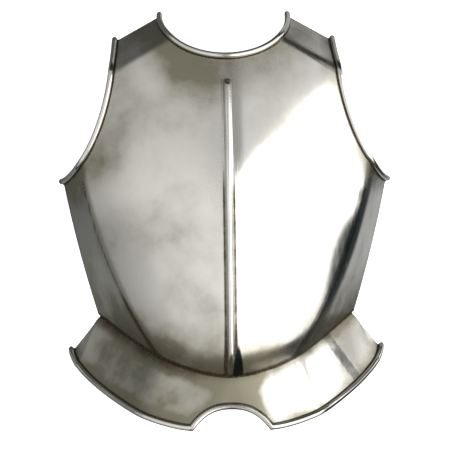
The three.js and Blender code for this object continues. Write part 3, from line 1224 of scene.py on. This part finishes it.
    def _roughness(self, graph: Graph, given: Sockets, tarnish: Feed, dirt_and_shade: Feed, streak: Feed) -> Socket:
        """Roughness, raised by what lies on the metal.

        Args:
            graph: The group's graph.
            given: The group's inputs.
            tarnish: Share of tarnish.
            dirt_and_shade: Share of grime and painted shade.
            streak: Polishing marks.

        Returns:
            The roughness.
        """
        rough = graph.plus(given["Smooth"], tarnish, self.tarnish_roughness)
        rough = graph.plus(rough, given["Dull"], self.dull_roughness)
        rough = graph.plus(rough, dirt_and_shade, self.dirt_roughness)
        return graph.plus(rough, streak, self.stroke_roughness, clamp=True)

    def _height(self, graph: Graph, place: Feed, stain: Feed, dirt_and_shade: Feed, streak: Feed) -> Socket:
        """Height of shallow dents, marks and caked dirt.

        Args:
            graph: The group's graph.
            place: Place on the surface.
            stain: Fine noise.
            dirt_and_shade: Share of grime and painted shade.
            streak: Polishing marks.

        Returns:
            The height, for a bump node.
        """
        dents = graph.noise(place, self.dent)
        height = graph.plus(dents, graph.noise(place, self.ripple), self.ripple_height)
        height = graph.plus(height, streak, self.stroke_height)
        return graph.plus(height, graph.math("MULTIPLY", stain, dirt_and_shade), self.dirt_height)

    def _streaks(self, graph: Graph, place: Feed) -> Socket:
        """Fine marks left by polishing, in two directions.

        Args:
            graph: The group's graph.
            place: Place on the surface.

        Returns:
            A mask of the marks.
        """
        total = 0.0
        for turn, stretch in self.stroke_ways:
            mapping = {"Vector": place, "Rotation": (0, 0, turn), "Scale": stretch}
            turned = graph.add("ShaderNodeMapping", mapping).outputs["Vector"]
            marks = graph.step(graph.noise(turned, self.stroke), self.stroke_shows)
            total = graph.math("ADD", marks, total)
        return graph.math("MULTIPLY", total, 1 / len(self.stroke_ways))


@dataclass(frozen=True)
class PolishedSteel:
    """Polished sheet steel with tarnish, with grime and painted shade in its grooves, and with painted dark
    reflections.
    """

    effect: bpy.types.NodeTree
    clean: Colour = (0.66, 0.645, 0.615, 1)
    tarnish: Colour = (0.226, 0.214, 0.160, 1)
    # Dark brown of grime, also laid as painted shade.
    dirt_and_shade: Colour = (0.040, 0.030, 0.020, 1)
    rust: Colour = (0.120, 0.086, 0.055, 1)
    smoothness: float = 0.11
    dent_depth: float = 0.0009

    def _wear(self, graph: Graph) -> dict:
        """Add up the mesh's masks.

        Args:
            graph: The material's graph.

        Returns:
            A total for each input of the effect that they feed.
        """
        totals = {}
        for total, weights in WEAR.items():
            totals[total] = 0.0
            for name, weight in weights.items():
                mask = graph.add("ShaderNodeAttribute", attribute_name=name).outputs["Fac"]
                totals[total] = graph.math("ADD", graph.math("MULTIPLY", mask, weight), totals[total])
        return totals

    def make(self) -> bpy.types.Material:
        """Make the material.

        Returns:
            A material whose masks come from the mesh.
        """
        material = bpy.data.materials.new("polished_sheet_steel")
        material.use_nodes = True
        graph = Graph(material.node_tree)
        shader = material.node_tree.nodes["Principled BSDF"]
        wanted = {
            "Place": graph.add("ShaderNodeTexCoord").outputs["Object"],
            "Clean": self.clean,
            "Tarnish": self.tarnish,
            "Dirt": self.dirt_and_shade,
            "Rust": self.rust,
            "Smooth": self.smoothness,
        }
        wanted |= self._wear(graph)
        worn = graph.add("ShaderNodeGroup", node_tree=self.effect)
        for name, value in wanted.items():
            graph.feed(worn.inputs[name], value)
        bump = graph.add("ShaderNodeBump", {"Strength": 1.0, "Distance": self.dent_depth})
        graph.feed(bump.inputs["Height"], worn.outputs["Height"])
        shader.inputs["Metallic"].default_value = 1.0
        graph.feed(shader.inputs["Base Color"], worn.outputs["Colour"])
        graph.feed(shader.inputs["Roughness"], worn.outputs["Roughness"])
        graph.feed(shader.inputs["Normal"], bump.outputs["Normal"])
        return material


@dataclass(frozen=True)
class WireSteel(PolishedSteel):
    """Dull dark wire, seen only at its cut ends."""

    clean: Colour = (0.30, 0.27, 0.24, 1)
    tarnish: Colour = (0.17, 0.14, 0.11, 1)
    smoothness: float = 0.42

    def make(self) -> bpy.types.Material:
        """Make the material.

        Returns:
            The sheet's material with the wire's colours.
        """
        material = super().make()
        material.name = "dark_wire_steel"
        return material


class Back(Enum):
    """The ways that a light's back can face."""

    RIGHT_UP = (0.731, 0, 0.682)
    LEFT_UP = (-0.731, 0, 0.682)
    UP = (0, 0, 1)
    DOWN = (0, 0, -1)
    RIGHT = (1, 0, 0)
    LEFT = (-1, 0, 0)


@dataclass(frozen=True)
class Softbox:
    """A large flat studio light, or a card that throws light back, that shows in the metal."""

    name: str
    centre: Triple
    behind: Back
    size: tuple[float, float]
    radiance: float
    tint: Triple = (1.0, 0.99, 0.97)

    def place(self) -> bpy.types.Object:
        """Add the light, with its back turned towards the given direction.

        Returns:
            The light's object.
        """
        light = bpy.data.lights.new(self.name, "AREA")
        light.shape = "RECTANGLE"
        light.size, light.size_y = self.size
        light.energy = math.pi * self.size[0] * self.size[1] * self.radiance
        light.color = self.tint
        holder = bpy.data.objects.new(self.name, light)
        back = Vector(self.behind.value).normalized()
        up = Vector((0, 1, 0))
        side = up.cross(back)
        turn = Matrix((side, up, back)).transposed()
        holder.matrix_world = Matrix.Translation(self.centre) @ turn.to_4x4()
        holder.visible_camera = False
        bpy.context.scene.collection.objects.link(holder)
        return holder


SOFTBOXES = (
    Softbox("softbox_right", (1.207, -0.145, 1.106), Back.RIGHT_UP, (2.70, 2.41), 2.2),
    Softbox("softbox_right_waist", (1.132, -2.375, 1.187), Back.RIGHT_UP, (2.48, 2.05), 0.55),
    Softbox("softbox_left_1", (-0.46, -1.225, 1.907), Back.LEFT_UP, (0.75, 4.35), 0.85),
    Softbox("softbox_left_2", (-0.887, -1.225, 1.45), Back.LEFT_UP, (0.5, 4.35), 0.8),
    Softbox("softbox_left_3", (-1.228, -1.25, 1.084), Back.LEFT_UP, (0.5, 4.3), 0.73),
    Softbox("softbox_left_4", (-1.586, -1.275, 0.7), Back.LEFT_UP, (0.55, 4.25), 0.65),
    Softbox("softbox_left_5", (-2.046, -1.275, 0.207), Back.LEFT_UP, (0.8, 4.25), 0.54),
    Softbox("softbox_left_upper", (-1.269, 2.175, 1.04), Back.LEFT_UP, (3.08, 2.45), 0.4),
    Softbox("ceiling_middle", (-3.05, 1.6, 2.75), Back.UP, (7.9, 9.0), 0.42),
    Softbox("ceiling_right", (3.95, 1.6, 2.75), Back.UP, (6.1, 9.0), 0.88),
    Softbox("card_left_near", (-0.41, 0.79, -0.5), Back.DOWN, (0.78, 2.02), 0.13),
    Softbox("card_left_waist", (-0.41, -1.12, -0.5), Back.DOWN, (0.78, 1.8), 0.32),
    Softbox("card_left_far", (-1.9, 0.2, -0.5), Back.DOWN, (2.2, 3.4), 0.26),
    Softbox("card_left_wall", (-3.0, 1.6, -0.1), Back.LEFT, (1.6, 2.6), 0.2),
    Softbox("card_right_near", (0.34, 0.2, -0.5), Back.DOWN, (0.64, 3.2), 0.5),
    Softbox("card_right_skirt", (1.65, 0.58, -0.5), Back.DOWN, (1.3, 0.66), 2.4),
    Softbox("card_right_side", (2.3, 1.0, 0.325), Back.RIGHT, (0.95, 0.9), 1.3),
    Softbox("card_right_low", (2.3, 0.86, -0.312), Back.RIGHT, (0.375, 0.375), 2.4),
    Softbox("card_right_wall", (3.0, 2.225, 0.07), Back.RIGHT, (1.21, 1.5), 0.8),
)


@dataclass(frozen=True)
class Studio:
    """The pale floor, the soft lights and the camera straight above."""

    target: Triple = (0, -0.0183, 0.080)
    distance: float = 1.8
    half_view: float = 0.273
    yaw: float = 1.75
    pitch: float = 2.25
    roll: float = 0.6
    floor_reach: float = 9.0
    floor_drop: float = 0.0004
    floor_paint: Colour = (0.9, 0.9, 0.9, 1)
    floor_roughness: float = 0.9
    floor_glow: float = 0.8
    room: Colour = (0.030, 0.040, 0.041, 1)

    def floor(self) -> bpy.types.Object:
        """Add the pale floor under the rim.

        Returns:
            The floor's object, hidden from reflections and shadow rays.
        """
        mesh = bpy.data.meshes.new("pale_floor")
        signs = ((-1, -1), (1, -1), (1, 1), (-1, 1))
        reach = self.floor_reach
        corners = [(across * reach, up * reach, -self.floor_drop) for across, up in signs]
        mesh.from_pydata(corners, [], [(0, 1, 2, 3)])
        piece = bpy.data.objects.new("pale_floor", mesh)
        bpy.context.scene.collection.objects.link(piece)
        material = bpy.data.materials.new("pale_floor_paint")
        material.use_nodes = True
        shader = material.node_tree.nodes["Principled BSDF"]
        shader.inputs["Base Color"].default_value = self.floor_paint
        shader.inputs["Roughness"].default_value = self.floor_roughness
        shader.inputs["Emission Color"].default_value = (1, 1, 1, 1)
        shader.inputs["Emission Strength"].default_value = self.floor_glow
        mesh.materials.append(material)
        piece.visible_glossy = False
        piece.visible_shadow = False
        return piece

    def lights(self) -> None:
        """Add the lights and the dim room around them."""
        for box in SOFTBOXES:
            box.place()
        world = bpy.data.worlds.new("dim_room")
        world.use_nodes = True
        backdrop = world.node_tree.nodes["Background"]
        backdrop.inputs["Color"].default_value = self.room
        bpy.context.scene.world = world

    def camera(self) -> None:
        """Add the camera and make it the scene's own."""
        yaw = Matrix.Rotation(math.radians(self.yaw), 4, "Y")
        pitch = Matrix.Rotation(math.radians(self.pitch), 4, "X")
        roll = Matrix.Rotation(math.radians(self.roll), 4, "Z")
        lens = bpy.data.cameras.new("camera")
        lens.angle = 2 * math.atan(self.half_view / self.distance)
        lens.dof.use_dof = False
        holder = bpy.data.objects.new("camera", lens)
        turned = (roll @ pitch @ yaw).inverted()
        back = Matrix.Translation((0, 0, self.distance))
        holder.matrix_world = Matrix.Translation(self.target) @ turned @ back
        bpy.context.scene.collection.objects.link(holder)
        bpy.context.scene.camera = holder
        bpy.context.scene.view_settings.view_transform = "Standard"


def main() -> None:
    """Build the plates, finish the wires, and set up the studio."""
    logging.basicConfig(level=logging.INFO, format="%(message)s")
    form = ChestForm()
    shift = CAD_BOX[1][1] - form.height_over_all
    effect = WornMetal().group()
    steel = PolishedSteel(effect).make()
    plates = {"chest_plate": ChestPlate(form, shift), "skirt_plate": SkirtPlate(SkirtForm(form), shift)}
    for node, plate in plates.items():
        piece = plate.build()
        piece.data.materials.append(steel)
        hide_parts(node)
        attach(piece, "root")
        LOG.info("%s: %d faces", piece.name, len(piece.data.polygons))
    wire = WireSteel(effect).make()
    for name in ("neck_wire", "arm_wire_left", "arm_wire_right", "skirt_wire"):
        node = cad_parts[name]
        node.data.materials.clear()
        node.data.materials.append(wire)
        LOG.info("%s: finished", name)
    studio = Studio()
    studio.floor()
    studio.lights()
    studio.camera()
    LOG.info("studio: ready")


if __name__ == "__main__":
    main()
